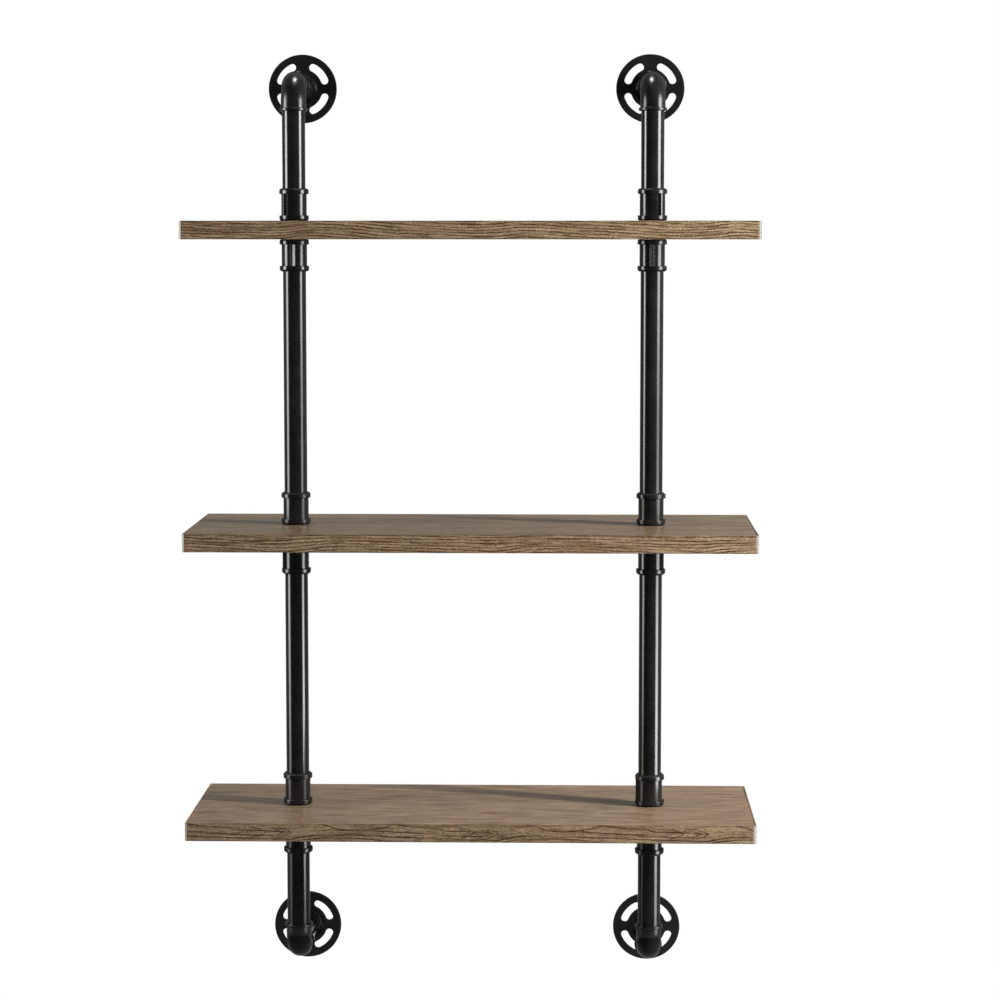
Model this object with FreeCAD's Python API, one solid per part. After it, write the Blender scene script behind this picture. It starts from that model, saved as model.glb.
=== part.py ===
import FreeCAD, Part
import math
import os

# Wall shelf: three boards clamped on two frames of threaded pipe. Sizes are in millimetres.
# X runs along the boards, +Y points into the wall and +Z is up.
# The origin lies on the wall, in the middle of the four wall flanges.

# Boards
board_length = 610.0
board_depth = 220.0
board_thickness = 19.5
board_wall_gap = 1.0
board_hole_clearance = 1.0
long_band_thickness = 1.0
end_band_thickness = 2.5
end_band_corner_radius = 2.2
band_edge_radius = 0.5

# Pipes, whose reach is the length that shows between two fittings
frame_spacing = 388.0
pipe_radius = 12.5
pipe_wall = 2.0
top_pipe_reach = 83.0
upper_bay_pipe_reach = 240.5
lower_bay_pipe_reach = 221.0
bottom_pipe_reach = 79.5

# Threads, drawn as plain stepped ends
thread_depth = 0.5
thread_length = 13.0
thread_lead_in = 0.8
thread_clearance = 0.15
thread_end_gap = 1.0

# Couplings above and below each board
coupling_wall = 1.65
coupling_middle_gap = 9.0
coupling_rim_height = 6.0
coupling_rim_step = 2.2
coupling_mouth_chamfer = 1.8
coupling_rim_rounding = 0.6

# Rib cast along each coupling, between its two rims
rib_rim_drop = 0.1
rib_top_width = 1.6
rib_base_width = 7.2
rib_top_rounding = 0.5
rib_rim_overlap = 1.0

# Elbows
elbow_wall = 1.5
elbow_bend_radius = 21.0
elbow_leg_straight = 8.0
elbow_rim_height = 3.5
elbow_rim_step = 1.6
elbow_rim_rounding = 0.8

# Wall flanges
flange_radius = 38.0
flange_thickness = 4.0
flange_rim_rounding = 0.8
hub_wall = 2.15
hub_base_fillet = 3.0
hub_mouth_rounding = 1.0
slot_width = 8.4
slot_half_angle = 21.8
slot_rise_angle = 42.3

# Making values
cut_overrun = 1.0
match_tolerance = 0.001
fillet_limit_share = 0.9
full_turn = 360
quarter_turn = 90
half_turn = 180

# Sizes that follow from the ones above
pipe_bore_radius = pipe_radius - pipe_wall
thread_radius = pipe_radius - thread_depth
socket_radius = thread_radius + thread_clearance
socket_depth = thread_length + thread_end_gap
coupling_radius = socket_radius + coupling_wall
coupling_rim_radius = coupling_radius + coupling_rim_step
coupling_length = thread_length + coupling_middle_gap + thread_length
rib_base_radius = socket_radius + coupling_wall / 2
rib_top_radius = coupling_rim_radius - rib_rim_drop
elbow_radius = socket_radius + elbow_wall
elbow_rim_radius = elbow_radius + elbow_rim_step
elbow_leg = elbow_bend_radius + elbow_leg_straight
hub_radius = socket_radius + hub_wall
flange_height = socket_depth
slot_circle_radius = (hub_radius + flange_radius) / 2
pipe_wall_distance = board_wall_gap + board_depth / 2
standoff_reach = pipe_wall_distance - elbow_leg - flange_height
panel_length = board_length - 2 * end_band_thickness
panel_depth = board_depth - 2 * long_band_thickness

# Tiers from the top down: the board's name, the pipe above it and that pipe's reach
tiers = (
    ("top", "top_pipe", top_pipe_reach),
    ("middle", "upper_bay_pipe", upper_bay_pipe_reach),
    ("bottom", "lower_bay_pipe", lower_bay_pipe_reach),
)

# Where each coupling's rib points, in degrees from the front and positive to the right
left_rib_angles = {
    "top_upper": -43, "top_lower": -5, "middle_upper": 180,
    "middle_lower": -65, "bottom_upper": 180, "bottom_lower": 180,
}
right_rib_angles = {
    "top_upper": 38, "top_lower": -1.4, "middle_upper": 180,
    "middle_lower": 60, "bottom_upper": -75, "bottom_lower": 180,
}

tier_clamp_height = coupling_length + board_thickness + coupling_length
pipe_run = sum(reach for board, pipe, reach in tiers) + bottom_pipe_reach
frame_height = 2 * elbow_leg + pipe_run + len(tiers) * tier_clamp_height

origin = FreeCAD.Vector(0, 0, 0)
x_axis = FreeCAD.Vector(1, 0, 0)
y_axis = FreeCAD.Vector(0, 1, 0)
z_axis = FreeCAD.Vector(0, 0, 1)


def turned(outline):
    """Ring or rod turned about Z from a closed outline of (radius, height) corners."""
    corners = [FreeCAD.Vector(radius, 0, height) for radius, height in outline]
    face = Part.Face(Part.makePolygon(corners + corners[:1]))
    return face.revolve(origin, z_axis, full_turn)


def circles(shape, radius, height):
    """Circular edges about Z of one radius at one height."""
    found = []
    for edge in shape.Edges:
        if not isinstance(edge.Curve, Part.Circle):
            continue
        same_radius = abs(edge.Curve.Radius - radius) < match_tolerance
        same_height = abs(edge.Curve.Center.z - height) < match_tolerance
        if same_radius and same_height:
            found.append(edge)
    return found


def placed(shape, position, axis=z_axis, angle=0):
    """Copy of a shape, turned about an axis through the origin and then moved."""
    copy = shape.copy()
    copy.rotate(origin, axis, angle)
    copy.translate(position)
    return copy


def pipe(reach):
    """Pipe standing on Z = 0, with a threaded end above and below its reach."""
    length = thread_length + reach + thread_length
    shoulder = thread_length + reach
    return turned([
        (pipe_bore_radius, 0),
        (thread_radius - thread_lead_in, 0),
        (thread_radius, thread_lead_in),
        (thread_radius, thread_length),
        (pipe_radius, thread_length),
        (pipe_radius, shoulder),
        (thread_radius, shoulder),
        (thread_radius, length - thread_lead_in),
        (thread_radius - thread_lead_in, length),
        (pipe_bore_radius, length),
    ])


def board_nipple():
    """Nipple threaded along its whole length, reaching into a coupling at each end."""
    length = thread_length + board_thickness + thread_length
    return turned([
        (pipe_bore_radius, 0),
        (thread_radius - thread_lead_in, 0),
        (thread_radius, thread_lead_in),
        (thread_radius, length - thread_lead_in),
        (thread_radius - thread_lead_in, length),
        (pipe_bore_radius, length),
    ])


def coupling_rib():
    """Straight rib facing -Y, reaching a little into both rims of a coupling."""
    start = coupling_rim_height - rib_rim_overlap
    corners = [
        (-rib_base_width / 2, -rib_base_radius),
        (rib_base_width / 2, -rib_base_radius),
        (rib_top_width / 2, -rib_top_radius),
        (-rib_top_width / 2, -rib_top_radius),
    ]
    corners = [FreeCAD.Vector(x, y, start) for x, y in corners]
    section = Part.Face(Part.makePolygon(corners + corners[:1]))
    rib = section.extrude(FreeCAD.Vector(0, 0, coupling_length - 2 * start))
    edges = [edge for edge in rib.Edges
             if edge.BoundBox.ZLength > match_tolerance
             and edge.BoundBox.YMax < match_tolerance - rib_top_radius]
    return rib.makeFillet(min(rib_top_rounding, rib_top_width / 2 * fillet_limit_share), edges)


def coupling():
    """Threaded sleeve standing on Z = 0, with a raised rim at each end and its rib in front."""
    upper_rim = coupling_length - coupling_rim_height
    upper_chamfer = coupling_length - coupling_mouth_chamfer
    sleeve = turned([
        (socket_radius, 0),
        (coupling_rim_radius - coupling_mouth_chamfer, 0),
        (coupling_rim_radius, coupling_mouth_chamfer),
        (coupling_rim_radius, coupling_rim_height),
        (coupling_radius, coupling_rim_height),
        (coupling_radius, upper_rim),
        (coupling_rim_radius, upper_rim),
        (coupling_rim_radius, upper_chamfer),
        (coupling_rim_radius - coupling_mouth_chamfer, coupling_length),
        (socket_radius, coupling_length),
    ])
    edges = []
    for height in (coupling_mouth_chamfer, coupling_rim_height, upper_rim, upper_chamfer):
        edges += circles(sleeve, coupling_rim_radius, height)
    return sleeve.makeFillet(coupling_rim_rounding, edges).fuse(coupling_rib())


def elbow_mouth():
    """Straight leg of an elbow standing on its mouth at Z = 0, not yet bored."""
    leg = turned([
        (0, 0),
        (elbow_rim_radius, 0),
        (elbow_rim_radius, elbow_rim_height),
        (elbow_radius, elbow_rim_height),
        (elbow_radius, elbow_leg_straight),
        (0, elbow_leg_straight),
    ])
    edges = circles(leg, elbow_rim_radius, 0) + circles(leg, elbow_rim_radius, elbow_rim_height)
    return leg.makeFillet(elbow_rim_rounding, edges)


def quarter_bend(radius):
    """Quarter ring of round section, from the lower leg to the leg that runs to the wall."""
    start = FreeCAD.Vector(0, 0, -elbow_bend_radius)
    pivot = FreeCAD.Vector(0, elbow_bend_radius, -elbow_bend_radius)
    section = Part.Face(Part.Wire(Part.makeCircle(radius, start, z_axis)))
    return section.revolve(pivot, x_axis, -quarter_turn)


def elbow():
    """Elbow whose axes cross at the origin, with mouths facing -Z and +Y."""
    lower_mouth = FreeCAD.Vector(0, 0, -elbow_leg)
    wall_mouth = FreeCAD.Vector(0, elbow_leg, 0)
    body = quarter_bend(elbow_radius)
    body = body.fuse(placed(elbow_mouth(), lower_mouth))
    body = body.fuse(placed(elbow_mouth(), wall_mouth, x_axis, quarter_turn))
    socket = Part.makeCylinder(socket_radius, cut_overrun + socket_depth, FreeCAD.Vector(0, 0, -cut_overrun))
    body = body.cut(placed(socket, lower_mouth))
    body = body.cut(placed(socket, wall_mouth, x_axis, quarter_turn))
    return body.cut(quarter_bend(pipe_bore_radius)).removeSplitter()


def slot_cutter(middle_angle):
    """Cutter for one curved screw slot through a flange, with round ends."""
    half_width = slot_width / 2
    start_angle = math.radians(middle_angle - slot_half_angle)
    middle = math.radians(middle_angle)
    end_angle = math.radians(middle_angle + slot_half_angle)

    def on_circle(radius, angle):
        return FreeCAD.Vector(radius * math.cos(angle), radius * math.sin(angle), -cut_overrun)

    def tip(angle, along):
        tangent = FreeCAD.Vector(-math.sin(angle), math.cos(angle), 0)
        return on_circle(slot_circle_radius, angle) + tangent * (along * half_width)

    outer = slot_circle_radius + half_width
    inner = slot_circle_radius - half_width
    arcs = (
        (on_circle(outer, start_angle), on_circle(outer, middle), on_circle(outer, end_angle)),
        (on_circle(outer, end_angle), tip(end_angle, 1), on_circle(inner, end_angle)),
        (on_circle(inner, end_angle), on_circle(inner, middle), on_circle(inner, start_angle)),
        (on_circle(inner, start_angle), tip(start_angle, -1), on_circle(outer, start_angle)),
    )
    wire = Part.Wire([Part.Arc(*points).toShape() for points in arcs])
    depth = cut_overrun + flange_thickness + cut_overrun
    return Part.Face(wire).extrude(FreeCAD.Vector(0, 0, depth))


def wall_flange():
    """Round wall plate lying on Z = 0, with its threaded hub standing up and four screw slots."""
    plate = turned([
        (socket_radius, 0),
        (flange_radius, 0),
        (flange_radius, flange_thickness),
        (hub_radius, flange_thickness),
        (hub_radius, flange_height),
        (socket_radius, flange_height),
    ])
    plate = plate.makeFillet(flange_rim_rounding, circles(plate, flange_radius, flange_thickness))
    plate = plate.makeFillet(hub_base_fillet, circles(plate, hub_radius, flange_thickness))
    plate = plate.makeFillet(hub_mouth_rounding, circles(plate, hub_radius, flange_height))
    for middle_angle in (slot_rise_angle, half_turn - slot_rise_angle):
        plate = plate.cut(slot_cutter(middle_angle))
        plate = plate.cut(slot_cutter(middle_angle + half_turn))
    return plate


def board_panel():
    """Board without its bands, its top face on Z = 0 and its middle on the pipe axes."""
    corner = FreeCAD.Vector(-panel_length / 2, -panel_depth / 2, -board_thickness)
    panel = Part.makeBox(panel_length, panel_depth, board_thickness, corner)
    hole_radius = thread_radius + board_hole_clearance
    depth = cut_overrun + board_thickness + cut_overrun
    for x in (-frame_spacing / 2, frame_spacing / 2):
        start = FreeCAD.Vector(x, 0, -board_thickness - cut_overrun)
        panel = panel.cut(Part.makeCylinder(hole_radius, depth, start))
    return panel


def band_strip(length, thickness):
    """Plain strip with its outer face on Y = 0, its glued face behind and its top on Z = 0."""
    return Part.makeBox(length, thickness, board_thickness, FreeCAD.Vector(-length / 2, 0, -board_thickness))


def long_band():
    """Band of the board's front or back, with its two outer long edges rounded."""
    strip = band_strip(panel_length, long_band_thickness)
    edges = [edge for edge in strip.Edges
             if edge.BoundBox.YMax < match_tolerance and edge.BoundBox.XLength > match_tolerance]
    return strip.makeFillet(min(band_edge_radius, long_band_thickness * fillet_limit_share), edges)


def end_band():
    """Band of the board's end, with rounded corners and the same rounding along its edges."""
    strip = band_strip(board_depth, end_band_thickness)
    corners = [edge for edge in strip.Edges
               if edge.BoundBox.YMax < match_tolerance and edge.BoundBox.ZLength > match_tolerance]
    strip = strip.makeFillet(min(end_band_corner_radius, end_band_thickness * fillet_limit_share), corners)
    rims = [edge for edge in strip.Edges
            if edge.BoundBox.ZLength < match_tolerance
            and edge.CenterOfMass.y < end_band_thickness - match_tolerance]
    return strip.makeFillet(band_edge_radius, rims)


def board_pieces(board, top_height):
    """The panel and four bands of one board, by name."""
    middle = FreeCAD.Vector(0, -pipe_wall_distance, top_height)
    front = FreeCAD.Vector(0, -board_depth / 2, 0)
    right = FreeCAD.Vector(board_length / 2, 0, 0)
    return {
        board + "_board_panel": placed(board_panel(), middle),
        board + "_board_front_band": placed(long_band(), middle + front),
        board + "_board_back_band": placed(long_band(), middle - front, z_axis, half_turn),
        board + "_board_left_end_band": placed(end_band(), middle - right, z_axis, -quarter_turn),
        board + "_board_right_end_band": placed(end_band(), middle + right, z_axis, quarter_turn),
    }


def wall_return(x, height):
    """Elbow, stand-off pipe and wall flange of one end of a frame, the elbow's mouth down."""
    elbow_centre = FreeCAD.Vector(x, -pipe_wall_distance, height)
    standoff_start = FreeCAD.Vector(x, -flange_height - standoff_reach - thread_length, height)
    return {
        "elbow": placed(elbow(), elbow_centre),
        "standoff_pipe": placed(pipe(standoff_reach), standoff_start, x_axis, -quarter_turn),
        "wall_flange": placed(wall_flange(), FreeCAD.Vector(x, 0, height), x_axis, quarter_turn),
    }


def frame_pieces(side, x, rib_angles):
    """Every pipe and fitting of one frame, by name, from the top down."""
    def stood(shape, height, angle=0):
        return placed(shape, FreeCAD.Vector(x, -pipe_wall_distance, height), z_axis, angle)

    pieces = {}
    for piece, shape in wall_return(x, frame_height / 2).items():
        pieces[side + "_top_" + piece] = shape
    for piece, shape in wall_return(-x, frame_height / 2).items():
        pieces[side + "_bottom_" + piece] = placed(shape, origin, y_axis, half_turn)
    for (board, pipe_name, reach), top_height in zip(tiers, board_top_heights()):
        upper_coupling_top = top_height + coupling_length
        under_board = top_height - board_thickness
        pieces[side + "_" + pipe_name] = stood(pipe(reach), upper_coupling_top - thread_length)
        upper_coupling = stood(coupling(), top_height, rib_angles[board + "_upper"])
        lower_coupling = stood(coupling(), under_board - coupling_length, rib_angles[board + "_lower"])
        pieces[side + "_" + board + "_upper_coupling"] = upper_coupling
        pieces[side + "_" + board + "_board_nipple"] = stood(board_nipple(), under_board - thread_length)
        pieces[side + "_" + board + "_lower_coupling"] = lower_coupling
    bottom_pipe_start = elbow_leg - frame_height / 2 - thread_length
    pieces[side + "_bottom_pipe"] = stood(pipe(bottom_pipe_reach), bottom_pipe_start)
    return pieces


def board_top_heights():
    """Heights of the boards' top faces, from the top tier down."""
    heights = []
    height = frame_height / 2 - elbow_leg
    for board, pipe_name, reach in tiers:
        heights.append(height - reach - coupling_length)
        height -= reach + tier_clamp_height
    return heights


def main():
    pieces = {}
    for (board, pipe_name, reach), top_height in zip(tiers, board_top_heights()):
        pieces.update(board_pieces(board, top_height))
    pieces.update(frame_pieces("left", -frame_spacing / 2, left_rib_angles))
    pieces.update(frame_pieces("right", frame_spacing / 2, right_rib_angles))
    os.makedirs("parts", exist_ok=True)
    for name, shape in pieces.items():
        shape.exportStep("parts/" + name + ".step")
        print(name, len(shape.Solids), shape.isValid(), round(shape.Volume))


main()
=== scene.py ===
import math

import bpy
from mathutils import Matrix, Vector


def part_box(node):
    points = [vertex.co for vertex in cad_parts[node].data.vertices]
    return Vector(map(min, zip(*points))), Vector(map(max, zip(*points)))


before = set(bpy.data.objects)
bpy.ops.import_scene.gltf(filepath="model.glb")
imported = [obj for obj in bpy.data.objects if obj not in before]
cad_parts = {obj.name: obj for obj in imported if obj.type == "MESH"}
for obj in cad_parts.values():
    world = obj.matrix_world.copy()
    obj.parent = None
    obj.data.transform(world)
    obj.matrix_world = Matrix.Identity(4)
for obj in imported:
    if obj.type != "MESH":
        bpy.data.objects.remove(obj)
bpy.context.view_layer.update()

# Camera, fitted to the photograph
image_size = 1000
camera_place = (0.10795, -3.20900, 0.31982)
camera_yaw = 0.0254
camera_pitch_down = 0.0949
camera_reach = 50.0
focal_length_px = 2849.7
sensor_width = 36.0

# Lamps. Each faces a point above or below the boards' middle. Each strip has a profile of its brightness
# from its foot (0) to its head (1).
aim_depth = -0.11
strip_aim_height = 0.0
strip_height = 1.8
right_strip_width = 0.60
left_strip_width = 0.48
right_strip_place = (1.34, -0.55, 0.0)
left_strip_place = (-1.34, -0.385, 0.0)
right_strip_power = 78.0
left_strip_power = 54.0
right_strip_profile = (
    (0.00, 0.02), (0.05, 0.08), (0.07, 0.18), (0.09, 0.30), (0.12, 0.36), (0.21, 0.64), (0.27, 0.66), (0.31, 0.56),
    (0.36, 0.50), (0.46, 0.21), (0.53, 0.20), (0.63, 0.48), (0.77, 0.80), (0.90, 0.85), (1.00, 0.60),
)
left_strip_profile = (
    (0.00, 0.01), (0.07, 0.03), (0.09, 0.03), (0.12, 0.08), (0.21, 0.13), (0.27, 0.27), (0.31, 0.33),
    (0.36, 0.44), (0.46, 0.37), (0.53, 0.43), (0.63, 0.54), (0.73, 0.76), (0.77, 0.68), (1.00, 0.50),
)
key_place = (1.40, -0.57, 0.40)
key_size = (0.07, 0.7)
key_power = 57.0
top_lamp_place = (-0.03, 0.15, 2.3)
top_lamp_aim_height = 0.5
top_lamp_size = (0.45, 0.45)
top_lamp_power = 24.0

# World: a dim room, seen only by the object. In gloss it is darker in front, and a white backdrop of limited
# size stands straight behind. Where it starts and ends is a ray's share along Y, and up or down along Z.
room_light = 0.12
room_front_gloss = 0.05
room_back_gloss = 0.19
room_front_to_back = (-0.3, 0.4)
backdrop_side = 0.94
backdrop_foot = -0.232
backdrop_top = 0.03

# Floor, a disc far enough below to stay out of the photograph's view
floor_height = -1.25
floor_radius = 2.1
floor_corners = 96
floor_shade = 0.8
floor_roughness = 0.9
floor_fade = (1.1, 2.0)

# Colours
white = (1.0, 1.0, 1.0)
enamel = (0.0062, 0.0062, 0.0064)
flange_enamel = (0.0030, 0.0030, 0.0032)
steel = (0.42, 0.42, 0.43)
oak_pale = (0.300, 0.215, 0.132)
oak_tan = (0.228, 0.152, 0.086)
oak_brown = (0.130, 0.078, 0.037)
oak_dark = (0.030, 0.014, 0.004)
face_pale = (0.240, 0.166, 0.104)
face_tan = (0.172, 0.116, 0.070)
face_brown = (0.105, 0.068, 0.039)
face_pore = (0.050, 0.031, 0.017)
# Painted highlight of the boards' rounded end corners, and painted shade at their outermost edge
painted_corner_highlight = (0.62, 0.57, 0.51)
painted_corner_edge_shade = (0.42, 0.37, 0.31)

# Noise layers below are: scale along each axis, offset from the seed, detail, roughness. Ranges are: a value's
# low and high end, and where they are four numbers, what these two become. Most noise lies in noise_span.
noise_span = (0.3, 0.7)

# Enamels: name, colour, scale of the specks, roughness, shine, depth of the specks, how much duller upward rims are
enamels = {
    "pipe": ("pipe_enamel", enamel, (500.0, 500.0, 60.0), 0.13, 0.5, 0.000003, 0.0),
    "fitting": ("cast_enamel", enamel, (420.0, 420.0, 420.0), 0.17, 0.5, 0.000005, 0.35),
    "elbow": ("elbow_enamel", enamel, (420.0, 420.0, 420.0), 0.24, 0.45, 0.000008, 0.0),
    "flange": ("flange_enamel", flange_enamel, (420.0, 420.0, 420.0), 0.48, 0.27, 0.00001, 0.0),
}
enamel_cloud = ((60.0, 60.0, 60.0), 5.0, 3.0, 0.5)
enamel_speck = (9.0, 2.0, 0.5)
enamel_cloud_span = (0.35, 0.65)
enamel_cloud_tones = (0.8, 1.25)
enamel_cloud_roughness = 0.08
enamel_speck_roughness = 0.05
underside_rise = (-0.14, -0.005)
underside_shine_share = 0.03
rim_rise = (0.35, 0.65)

# Bare steel, turned
steel_turning = ((40.0, 40.0, 2200.0), 2.0, 2.0, 0.5)
steel_dark_share = 0.8
steel_roughness = (0.3, 0.42)

# Boards' wide faces
face_streaks = ((16.0, 250.0, 250.0), 0.0, 4.0, 0.7)
face_fine = ((30.0, 700.0, 700.0), 3.0, 2.0, 0.6)
face_bands = ((3.0, 30.0, 30.0), 1.0, 2.0, 0.5)
face_pores = ((90.0, 900.0, 900.0), 2.0, 2.0, 0.5)
face_hairs = ((30.0, 170.0, 170.0), 4.0, 2.0, 0.5)
face_streaks_share = 0.69
face_fine_share = 0.28
face_bands_share = 0.03
face_wood = ((0.42, face_brown), (0.49, face_tan), (0.56, face_pale))
face_hair_tones = (0.81, 1.18)
face_pore_range = (0.55, 0.68)
face_pore_share = 0.5
face_roughness = (0.26, 0.36)
face_pore_depth = 0.00004
# Painted shade: the middle board's wide faces are made a little darker than the others
face_painted_shade = {"top": 1.0, "middle": 0.94, "bottom": 1.0}

# Boards' end bands, with a painted highlight on their rounded corners. Corners and rims are lengths from a band's
# edge or middle.
end_fibres = ((430.0, 38.0, 430.0), 6.0, 3.0, 0.6)
end_lines = ((150.0, 9.0, 300.0), 7.0, 2.0, 0.5)
end_cloud = ((300.0, 300.0, 300.0), 8.0, 2.0, 0.5)
end_wood = ((0.30, oak_brown), (0.45, oak_tan), (0.62, oak_pale))
end_line_range = (0.55, 0.68, 0.0, 0.8)
end_corner = (0.0027, 0.0023)
end_corner_depth = (0.0014, 0.0002)
end_corner_waver = 0.0004
# Dark rims along the end's top and bottom, partly a seam and partly painted shade
end_seam_and_shade = (0.0092, 0.0097, 0.0, 0.3)
end_roughness = (0.62, 0.76)
end_relief = 0.00006
right_end_seed_offset = 0.5

# How dark the ends' wood, their corners' painted highlight and the painted shade at the corners' outermost edge
# are, left and right. The right end's wood is darkened as painted shade where the right lamps fall strongly.
end_painted_light = {
    "top": ((1.0, 0.95, 1.0), (0.6, 0.33, 0.16)),
    "middle": ((1.0, 0.75, 0.75), (0.6, 0.32, 0.20)),
    "bottom": ((1.0, 0.50, 0.50), (0.6, 0.42, 0.22)),
}

# Boards' front and back bands
edge_sway = ((12.0, 12.0, 60.0), 0.0, 1.0, 0.5)
edge_fibres = ((26.0, 26.0, 620.0), 1.0, 4.0, 0.68)
edge_raggedness = ((240.0, 240.0, 400.0), 2.0, 2.0, 0.5)
edge_strength = ((38.0, 38.0, 300.0), 3.0, 2.0, 0.5)
edge_pores = ((80.0, 80.0, 1000.0), 4.0, 1.0, 0.5)
edge_shade = ((14.0, 14.0, 60.0), 5.0, 2.0, 0.5)
edge_stray = ((12.0, 12.0, 100.0), 6.0, 1.0, 0.5)
edge_speck = ((330.0, 330.0, 700.0), 7.0, 1.0, 0.5)
edge_wood = ((0.36, oak_brown), (0.47, oak_tan), (0.60, oak_pale))
edge_sway_height = 0.003
edge_stray_rings = 1.2
edge_strength_range = (0.38, 0.52, 0.45, 1.0)
edge_ring_range = (0.10, 0.25, 1.0, 0.0)
edge_pore_range = (0.52, 0.66, 0.0, 0.5)
edge_shade_tones = (0.93, 1.07)
# Painted highlight: the end corners' pale highlight carried onto the band's last millimetre at the right end
edge_corner_highlight = (0.0016, 0.0004, 0.0, 0.7)
edge_dark_joint = (0.0012, 0.0006, 0.0, 0.4)
# Dark lines along the band's top and bottom edges, partly seams and partly painted shade of the rounded edges,
# darker at the foot
edge_seam_and_shade = (0.0086, 0.0096)
edge_upper_seam_and_shade_share = 0.35
edge_lower_seam_and_shade_share = 0.55
edge_shine = 0.25
edge_roughness = (0.46, 0.62)
edge_pore_depth = 0.00008

# Grain of these bands. It comes again and again along the board. Heights of curves are parts of the band's
# height, counted down from its top edge, and places are parts of one repeat. A wave lifts or lowers the rings
# along one repeat, more or less so at the band's foot and top, as "share" says.
grain_repeat = 0.2223
band_height = 0.0195
wave_span = 0.020
edge_figures = {
    "top": {
        "seed": 3.0, "start": -0.2100, "ring": 0.00315, "line": 0.9, "share": (1.0, 1.0),
        "tone": 1.0, "speck": (0.70, 1.10), "ragged": 0.0015,
        "wave": ((0.0, 0.0), (0.07, 0.0008), (0.14, 0.0026), (0.205, 0.0038), (0.26, 0.0035), (0.4, 0.0010),
                 (0.6, -0.0025), (0.8, -0.0051), (0.93, -0.0062), (1.0, -0.0063)),
        "curves": (),
    },
    "middle": {
        "seed": 11.0, "start": -0.1940, "ring": 0.0037, "line": 0.9, "share": (1.3, 0.3),
        "tone": 1.0, "speck": (0.62, 1.16), "ragged": 0.0018,
        "wave": ((0.0, 0.0), (0.1, 0.0026), (0.2, 0.0048), (0.3, 0.0056), (0.42, 0.0050), (0.6, 0.0034),
                 (0.8, 0.0014), (0.93, 0.0002), (1.0, 0.0)),
        "curves": (),
    },
    "bottom": {
        "seed": 23.0, "start": 0.0321, "ring": 0.0049, "line": 0.0, "share": (0.5, 0.5),
        "tone": 0.89, "speck": (0.62, 1.18), "ragged": 0.0016,
        "wave": ((0.0, 0.0), (0.16, 0.0030), (0.30, 0.0028), (0.6, 0.0), (1.0, 0.0)),
        "curves": (
            ((0.42, -0.08), (0.54, 0.10), (0.64, 0.20), (0.69, 0.24), (0.75, 0.36), (0.83, 0.38), (0.96, 0.45)),
            ((0.08, -0.10), (0.16, 0.08), (0.21, 0.25), (0.25, 0.35), (0.30, 0.38), (0.40, 0.27), (0.52, -0.10)),
            ((0.40, 0.36), (0.48, 0.43), (0.60, 0.50), (0.75, 0.62), (0.86, 0.65), (0.92, 0.66)),
            ((0.0, 0.87), (0.04, 0.75), (0.09, 0.66), (0.16, 0.615), (0.30, 0.62), (0.40, 0.665), (0.50, 0.71),
             (0.69, 0.78), (0.88, 0.84), (1.0, 0.87)),
            ((0.0, 1.02), (0.04, 0.92), (0.09, 0.84), (0.16, 0.79), (0.30, 0.80), (0.40, 0.87), (0.55, 1.10)),
        ),
    },
}
line_width = 0.00085
line_core_share = 0.35
curve_overrun = 0.005
arrow_width = 0.0008
arrow_tips = (0.876, 0.955, 0.996)
arrow_heart = 0.48
arrow_lean = 1.3
arrow_bend = 260.0
arrow_reach = 0.0075
arrow_fade_share = 0.6
arrow_raggedness = 3.0


def add(tree, kind, sockets=None, **settings):
    """New shader node, whose sockets take plain values or other nodes' outputs."""
    node = tree.nodes.new("ShaderNode" + kind)
    for key, value in settings.items():
        setattr(node, key, value)
    for key, value in (sockets or {}).items():
        if isinstance(value, bpy.types.NodeSocket):
            tree.links.new(value, node.inputs[key])
        else:
            node.inputs[key].default_value = value
    return node


def maths(tree, operation, *values):
    return add(tree, "Math", dict(enumerate(values)), operation=operation).outputs[0]


def grey(value):
    return (value, value, value)


def shaded(colour, share):
    return tuple(part * share for part in colour)


def noise(tree, coordinates, layer, seed=0.0):
    """Noise from 0 to 1 over coordinates in metres."""
    scale, offset, detail, roughness = layer
    vector = add(tree, "VectorMath", {0: coordinates, 1: scale, 2: grey(seed + offset)},
                 operation="MULTIPLY_ADD").outputs[0]
    settings = {"Vector": vector, "Scale": 1.0, "Detail": detail, "Roughness": roughness}
    return add(tree, "TexNoise", settings).outputs["Fac"]


def centred(tree, value, height):
    """A value from 0 to 1, turned into a length from half a height below 0 to half a height above."""
    return maths(tree, "MULTIPLY_ADD", value, height, -height / 2)


def remap(tree, value, low, high, to_low=0.0, to_high=1.0):
    sockets = {"Value": value, "From Min": low, "From Max": high, "To Min": to_low, "To Max": to_high}
    return add(tree, "MapRange", sockets).outputs["Result"]


def curve(tree, value, points, span):
    """Smooth curve through points, whose heights are within half a span of 0 up or down."""
    node = add(tree, "FloatCurve", {"Value": value})
    line = node.mapping.curves[0]
    while len(line.points) < len(points):
        line.points.new(0.5, 0.5)
    for point, (place, height) in zip(line.points, points):
        point.location = (place, 0.5 + height / span)
    node.mapping.update()
    return centred(tree, node.outputs[0], span)


def ramp(tree, factor, stops):
    node = add(tree, "ValToRGB", {"Fac": factor})
    elements = node.color_ramp.elements
    while len(elements) < len(stops):
        elements.new(0.5)
    for element, (position, colour) in zip(elements, stops):
        element.position = position
        element.color = (*colour, 1.0)
    return node.outputs["Color"]


def blend(tree, factor, first, second, mode="MIX"):
    node = add(tree, "Mix", data_type="RGBA", blend_type=mode)
    for name, value in (("Factor", factor), ("A", first), ("B", second)):
        socket = [s for s in node.inputs if s.name == name and (name == "Factor") == (s.type == "VALUE")
                  and s.type in ("VALUE", "RGBA")][0]
        if isinstance(value, bpy.types.NodeSocket):
            tree.links.new(value, socket)
        else:
            socket.default_value = value if name == "Factor" else (*value, 1.0)
    return [s for s in node.outputs if s.type == "RGBA"][0]


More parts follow.
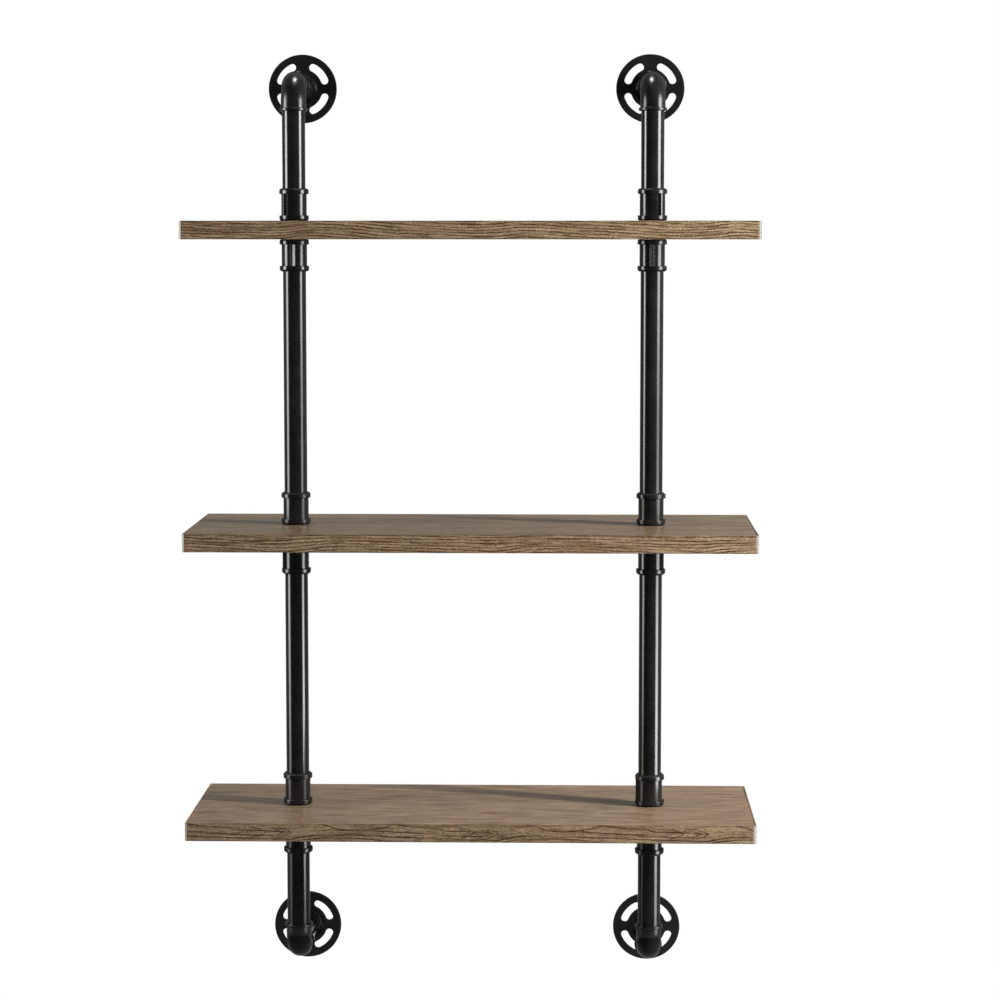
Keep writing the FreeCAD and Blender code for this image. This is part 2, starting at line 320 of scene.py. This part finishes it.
def toned(tree, colour, layer, tones):
    """Colour made darker where a noise is low and lighter where it is high."""
    shades = ramp(tree, layer, [(place, grey(tone)) for place, tone in zip(noise_span, tones)])
    return blend(tree, 1.0, colour, shades, "MULTIPLY")


def new_material(name):
    material = bpy.data.materials.new(name)
    material.use_nodes = True
    tree = material.node_tree
    place = add(tree, "TexCoord").outputs["Object"]
    return material, tree, tree.nodes["Principled BSDF"], place


def bump(tree, shader, height, distance):
    node = add(tree, "Bump", {"Height": height, "Distance": distance, "Strength": 1.0})
    tree.links.new(node.outputs["Normal"], shader.inputs["Normal"])


def enamel_material(name, colour, grain, roughness, shine, relief, rim_dullness):
    """Black enamel, a little uneven in gloss, over cast or drawn metal. Undersides hardly shine."""
    material, tree, shader, place = new_material(name)
    cloud = noise(tree, place, enamel_cloud)
    speck = noise(tree, place, (grain, *enamel_speck))
    stops = [(part, shaded(colour, tone)) for part, tone in zip(enamel_cloud_span, enamel_cloud_tones)]
    tree.links.new(ramp(tree, cloud, stops), shader.inputs["Base Color"])
    rise = add(tree, "SeparateXYZ", {"Vector": add(tree, "NewGeometry").outputs["Normal"]}).outputs["Z"]
    gloss = remap(tree, rise, *underside_rise, shine * underside_shine_share, shine)
    tree.links.new(gloss, shader.inputs["Specular IOR Level"])
    dull = remap(tree, rise, *rim_rise, 0.0, rim_dullness)
    spread = maths(tree, "MULTIPLY_ADD", cloud, enamel_cloud_roughness,
                   maths(tree, "ADD", dull, roughness - enamel_cloud_roughness / 2))
    tree.links.new(maths(tree, "MULTIPLY_ADD", speck, enamel_speck_roughness, spread), shader.inputs["Roughness"])
    bump(tree, shader, speck, relief)
    return material


def thin_lines(tree, distance, width):
    """1 on a line and 0 beyond its width, where the distance is from the line's middle."""
    return remap(tree, maths(tree, "ABSOLUTE", distance), width * line_core_share, width, 1.0, 0.0)


def grain_lines(tree, turn, across, figure, ragged):
    """Drawn growth rings of a narrow face: long curves, and nested arrowheads where they meet."""
    lines = None
    rough = maths(tree, "ADD", across, ragged)
    for points in figure["curves"]:
        heights = [(place, (0.5 - height) * band_height) for place, height in points]
        distance = maths(tree, "SUBTRACT", rough, curve(tree, turn, heights, 2 * band_height))
        inside = maths(tree, "MULTIPLY", maths(tree, "GREATER_THAN", turn, points[0][0] - curve_overrun),
                       maths(tree, "LESS_THAN", turn, points[-1][0] + curve_overrun))
        line = maths(tree, "MULTIPLY", thin_lines(tree, distance, line_width), inside)
        lines = line if lines is None else maths(tree, "MAXIMUM", lines, line)
    # An arrowhead's arms fall back from its tip by side * (lean + bend * side), and steep is their slope
    side = maths(tree, "ABSOLUTE", maths(tree, "SUBTRACT", rough, (0.5 - arrow_heart) * band_height))
    fall = maths(tree, "MULTIPLY_ADD", side, arrow_bend, arrow_lean)
    reach = maths(tree, "MULTIPLY_ADD", side, fall, maths(tree, "MULTIPLY", turn, grain_repeat))
    reach = maths(tree, "MULTIPLY_ADD", ragged, arrow_raggedness, reach)
    steep = maths(tree, "MULTIPLY_ADD", side, 2 * arrow_bend, arrow_lean)
    arms = remap(tree, side, arrow_reach * arrow_fade_share, arrow_reach, 1.0, 0.0)
    for tip in arrow_tips:
        distance = maths(tree, "DIVIDE", maths(tree, "SUBTRACT", reach, tip * grain_repeat), steep)
        arrow = maths(tree, "MULTIPLY", thin_lines(tree, distance, arrow_width), arms)
        lines = maths(tree, "MAXIMUM", lines, arrow)
    return lines


def oak_edge_material(name, figure, middle, end, corner_highlight_tone):
    """Bold open oak grain, as on the boards' narrow faces. The end bands' joints are at end and -end along X. Near
    end the band takes on the corners' painted highlight, and dark lines along its top and bottom edges are partly
    seams and partly painted shade.
    """
    material, tree, shader, place = new_material(name)
    shader.inputs["Specular IOR Level"].default_value = edge_shine
    seed = figure["seed"]
    parts = add(tree, "SeparateXYZ", {"Vector": place}).outputs
    across = maths(tree, "SUBTRACT", parts["Z"], middle)
    turns = maths(tree, "DIVIDE", maths(tree, "SUBTRACT", parts["X"], figure["start"]), grain_repeat)
    turn = maths(tree, "FRACT", turns)
    share = remap(tree, across, -band_height / 2, band_height / 2, *figure["share"])
    drift = maths(tree, "MULTIPLY", maths(tree, "FLOOR", turns), figure["wave"][-1][1])
    wave = maths(tree, "ADD", curve(tree, turn, figure["wave"], wave_span), drift)
    wave = maths(tree, "MULTIPLY", wave, share)
    sway = centred(tree, noise(tree, place, edge_sway, seed), edge_sway_height)
    flow = maths(tree, "SUBTRACT", maths(tree, "ADD", across, sway), wave)
    flowing = add(tree, "CombineXYZ", {"X": parts["X"], "Y": parts["Y"], "Z": flow}).outputs[0]

    colour = ramp(tree, noise(tree, flowing, edge_fibres, seed), edge_wood)
    ragged = centred(tree, noise(tree, place, edge_raggedness, seed), figure["ragged"])
    stray = maths(tree, "MULTIPLY", noise(tree, flowing, edge_stray, seed), edge_stray_rings)
    rings = maths(tree, "ADD", maths(tree, "DIVIDE", maths(tree, "ADD", flow, ragged), figure["ring"]), stray)
    off_ring = maths(tree, "ABSOLUTE", maths(tree, "SUBTRACT", maths(tree, "FRACT", rings), 0.5))
    lines = maths(tree, "MULTIPLY", remap(tree, off_ring, *edge_ring_range), figure["line"])
    if figure["curves"]:
        lines = maths(tree, "MAXIMUM", lines, grain_lines(tree, turn, across, figure, ragged))
    strength = remap(tree, noise(tree, flowing, edge_strength, seed), *edge_strength_range)
    lines = maths(tree, "MULTIPLY", lines, strength)
    colour = blend(tree, lines, colour, oak_dark)
    pores = remap(tree, noise(tree, flowing, edge_pores, seed), *edge_pore_range)
    colour = blend(tree, pores, colour, oak_dark)
    colour = toned(tree, colour, noise(tree, place, edge_shade, seed), shaded(edge_shade_tones, figure["tone"]))
    colour = toned(tree, colour, noise(tree, place, edge_speck, seed), figure["speck"])

    # Painted highlight: near the right end the band is blended towards the corners' pale highlight colour.
    joint_from, joint_to, *joint_shares = edge_corner_highlight
    joint_highlight = remap(tree, parts["X"], end - joint_from, end - joint_to, *joint_shares)
    colour = blend(tree, joint_highlight, colour, shaded(painted_corner_highlight, corner_highlight_tone))
    # Dark lines along the top and bottom edges, partly seams and partly painted shade, and a dark joint line at the
    # left end.
    rim_from, rim_to = edge_seam_and_shade
    rim = maths(tree, "MAXIMUM", remap(tree, across, rim_from, rim_to, 0.0, edge_upper_seam_and_shade_share),
                remap(tree, across, -rim_from, -rim_to, 0.0, edge_lower_seam_and_shade_share))
    joint_from, joint_to, *joint_shares = edge_dark_joint
    dark_joint = remap(tree, parts["X"], joint_from - end, joint_to - end, *joint_shares)
    colour = blend(tree, maths(tree, "MAXIMUM", rim, dark_joint), colour, oak_dark)
    tree.links.new(colour, shader.inputs["Base Color"])
    open_pores = maths(tree, "MAXIMUM", pores, lines)
    tree.links.new(remap(tree, open_pores, 0.0, 1.0, *edge_roughness), shader.inputs["Roughness"])
    bump(tree, shader, maths(tree, "SUBTRACT", 1.0, open_pores), edge_pore_depth)
    return material


def oak_end_material(name, seed, low, high, wood_shade_tone, corner_highlight_tone, outer_shade_tone):
    """Oak grain along the end of a board, darkened as painted shade on the right end, with a painted highlight on
    the rounded corners that turns to painted shade at the outermost edge, and dark upper and lower rims, partly a
    seam and partly painted shade.
    """
    material, tree, shader, place = new_material(name)
    parts = add(tree, "SeparateXYZ", {"Vector": place}).outputs
    fibres = noise(tree, place, end_fibres, seed)
    colour = ramp(tree, fibres, end_wood)
    colour = blend(tree, remap(tree, noise(tree, place, end_lines, seed), *end_line_range), colour, oak_dark)
    # Painted shade: the end's wood is darkened by its tone, more so on the right end.
    colour = blend(tree, 1.0, colour, grey(wood_shade_tone), "MULTIPLY")
    half_depth = (high[1] - low[1]) / 2
    from_middle = maths(tree, "ABSOLUTE", maths(tree, "SUBTRACT", parts["Y"], (low[1] + high[1]) / 2))
    corner = remap(tree, from_middle, half_depth - end_corner[0], half_depth - end_corner[1])
    waver = maths(tree, "MULTIPLY", noise(tree, place, end_cloud, seed), end_corner_waver)
    outward = maths(tree, "ADD", maths(tree, "ABSOLUTE", parts["X"]), waver)
    outermost = max(abs(low[0]), abs(high[0]))
    depth = remap(tree, outward, outermost - end_corner_depth[0], outermost - end_corner_depth[1])
    # Painted highlight on the rounded corner, turning to painted shade at its outermost edge.
    corner_light_and_shade = ramp(tree, depth, ((0.0, shaded(painted_corner_highlight, corner_highlight_tone)), (1.0, shaded(painted_corner_edge_shade, outer_shade_tone))))
    colour = blend(tree, corner, colour, corner_light_and_shade)
    # Dark upper and lower rims, partly a seam and partly painted shade.
    across = maths(tree, "SUBTRACT", parts["Z"], (low[2] + high[2]) / 2)
    colour = blend(tree, remap(tree, maths(tree, "ABSOLUTE", across), *end_seam_and_shade), colour, oak_dark)
    tree.links.new(colour, shader.inputs["Base Color"])
    tree.links.new(remap(tree, fibres, *noise_span, *end_roughness), shader.inputs["Roughness"])
    bump(tree, shader, fibres, end_relief)
    return material


def oak_face_material(name, seed, tone):
    """Fine long oak grain with a soft sheen, as on the boards' wide faces."""
    material, tree, shader, place = new_material(name)
    streaks = noise(tree, place, face_streaks, seed)
    mixed = maths(tree, "MULTIPLY_ADD", noise(tree, place, face_bands, seed), face_bands_share,
                  maths(tree, "MULTIPLY", streaks, face_streaks_share))
    mixed = maths(tree, "MULTIPLY_ADD", noise(tree, place, face_fine, seed), face_fine_share, mixed)
    colour = ramp(tree, mixed, face_wood)
    # The tone darkens the whole face; on the middle board it is painted shade.
    colour = toned(tree, colour, noise(tree, place, face_hairs, seed), shaded(face_hair_tones, tone))
    open_pores = remap(tree, noise(tree, place, face_pores, seed), *face_pore_range)
    colour = blend(tree, maths(tree, "MULTIPLY", open_pores, face_pore_share), colour, face_pore)
    tree.links.new(colour, shader.inputs["Base Color"])
    tree.links.new(remap(tree, streaks, *noise_span, *face_roughness), shader.inputs["Roughness"])
    bump(tree, shader, maths(tree, "SUBTRACT", 1.0, open_pores), face_pore_depth)
    return material


def steel_material():
    material, tree, shader, place = new_material("bare_steel")
    shader.inputs["Metallic"].default_value = 1.0
    turned = noise(tree, place, steel_turning)
    stops = list(zip(noise_span, (shaded(steel, steel_dark_share), steel)))
    tree.links.new(ramp(tree, turned, stops), shader.inputs["Base Color"])
    tree.links.new(remap(tree, turned, *noise_span, *steel_roughness), shader.inputs["Roughness"])
    return material


def floor_material():
    """Pale floor that shows the object's shadow and melts into the white background."""
    material, tree, shader, place = new_material("floor")
    shader.inputs["Base Color"].default_value = (*grey(floor_shade), 1.0)
    shader.inputs["Roughness"].default_value = floor_roughness
    path = add(tree, "LightPath").outputs
    seen = maths(tree, "MAXIMUM", path["Is Camera Ray"],
                 maths(tree, "MAXIMUM", path["Is Glossy Ray"], path["Is Transmission Ray"]))
    distance = add(tree, "VectorMath", {0: place}, operation="LENGTH").outputs["Value"]
    fade = maths(tree, "MULTIPLY", seen, remap(tree, distance, *floor_fade))
    glow = add(tree, "Emission", {"Color": (*white, 1.0), "Strength": 1.0})
    mix = add(tree, "MixShader", {0: fade, 1: shader.outputs[0], 2: glow.outputs[0]})
    tree.links.new(mix.outputs[0], tree.nodes["Material Output"].inputs["Surface"])
    return material


def make_floor():
    mesh = bpy.data.meshes.new("floor")
    angles = [index * 2 * math.pi / floor_corners for index in range(floor_corners)]
    rim = [(floor_radius * math.cos(angle), floor_radius * math.sin(angle), 0.0) for angle in angles]
    mesh.from_pydata(rim, [], [tuple(range(floor_corners))])
    floor = bpy.data.objects.new("floor", mesh)
    floor.location = (0.0, 0.0, floor_height)
    mesh.materials.append(floor_material())
    bpy.context.scene.collection.objects.link(floor)


def make_world():
    """White background for the camera, and a dim room that only lights the object and shows in its gloss."""
    world = bpy.data.worlds.new("studio")
    world.use_nodes = True
    tree = world.node_tree
    path = add(tree, "LightPath").outputs
    direction = add(tree, "SeparateXYZ", {"Vector": add(tree, "TexCoord").outputs["Generated"]}).outputs
    room = remap(tree, direction["Y"], *room_front_to_back, room_front_gloss, room_back_gloss)
    behind = maths(tree, "GREATER_THAN", direction["Y"], backdrop_side)
    above_foot = maths(tree, "GREATER_THAN", direction["Z"], backdrop_foot)
    below_top = maths(tree, "LESS_THAN", direction["Z"], backdrop_top)
    backdrop = maths(tree, "MULTIPLY", behind, maths(tree, "MULTIPLY", above_foot, below_top))
    gloss = maths(tree, "MAXIMUM", room, backdrop)
    light = blend(tree, path["Is Glossy Ray"], grey(room_light), gloss)
    seen = maths(tree, "MAXIMUM", path["Is Camera Ray"], path["Is Transmission Ray"])
    tree.links.new(blend(tree, seen, light, white), tree.nodes["Background"].inputs["Color"])
    bpy.context.scene.world = world


def make_camera():
    data = bpy.data.cameras.new("camera")
    data.sensor_width = sensor_width
    data.lens = focal_length_px / image_size * sensor_width
    data.clip_end = camera_reach
    camera = bpy.data.objects.new("camera", data)
    camera.location = camera_place
    camera.rotation_euler = (math.pi / 2 - camera_pitch_down, 0.0, camera_yaw)
    bpy.context.scene.collection.objects.link(camera)
    bpy.context.scene.camera = camera


def make_lamp(name, place, aim_height, size, power, profile=()):
    """Rectangular lamp, hidden from the camera. A profile gives its brightness from foot to head."""
    data = bpy.data.lights.new(name, "AREA")
    data.shape = "RECTANGLE"
    data.size, data.size_y = size
    data.energy = power
    if profile:
        data.use_nodes = True
        tree = data.node_tree
        height = add(tree, "SeparateXYZ", {"Vector": add(tree, "NewGeometry").outputs["Parametric"]}).outputs["Y"]
        stops = [(position, grey(value)) for position, value in profile]
        tree.links.new(ramp(tree, height, stops), tree.nodes["Emission"].inputs["Color"])
    lamp = bpy.data.objects.new(name, data)
    lamp.location = place
    aim = Vector((0.0, aim_depth, aim_height)) - Vector(place)
    lamp.rotation_euler = aim.to_track_quat("-Z", "Y").to_euler()
    lamp.visible_camera = False
    bpy.context.scene.collection.objects.link(lamp)
    return lamp


def make_lamps():
    make_lamp("right_strip", right_strip_place, strip_aim_height, (right_strip_width, strip_height),
              right_strip_power, right_strip_profile)
    make_lamp("left_strip", left_strip_place, strip_aim_height, (left_strip_width, strip_height),
              left_strip_power, left_strip_profile)
    key = make_lamp("key", key_place, key_place[2], key_size, key_power)
    key.visible_glossy = False
    make_lamp("top_lamp", top_lamp_place, top_lamp_aim_height, top_lamp_size, top_lamp_power)


def dress():
    """Gives every CAD node its material."""
    by_slot = {slot: enamel_material(*settings) for slot, settings in enamels.items()}
    by_slot["nipple"] = steel_material()
    for board, figure in edge_figures.items():
        low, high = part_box(board + "_board_panel")
        seed = figure["seed"]
        # Each end gets its own painted shade and painted corner highlight; the bands take the right corner's
        # highlight tone.
        left_painted_light, right_painted_light = end_painted_light[board]
        edge = oak_edge_material(board + "_oak_edge", figure, (low[2] + high[2]) / 2, high[0], right_painted_light[1])
        face = oak_face_material(board + "_oak_face", seed, face_painted_shade[board])
        left_end = oak_end_material(board + "_left_oak_end_painted_light", seed,
                                    *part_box(board + "_board_left_end_band"), *left_painted_light)
        right_end = oak_end_material(board + "_right_oak_end_painted_light", seed + right_end_seed_offset,
                                     *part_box(board + "_board_right_end_band"), *right_painted_light)
        for piece, material in (("panel", face), ("front_band", edge), ("back_band", edge),
                                ("left_end_band", left_end), ("right_end_band", right_end)):
            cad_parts[board + "_board_" + piece].material_slots[0].material = material
    for name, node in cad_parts.items():
        for slot in node.material_slots:
            if slot.material and slot.material.name in by_slot:
                slot.material = by_slot["elbow" if name.endswith("elbow") else slot.material.name]


make_camera()
make_world()
make_floor()
make_lamps()
bpy.context.scene.view_settings.view_transform = "Standard"
dress()
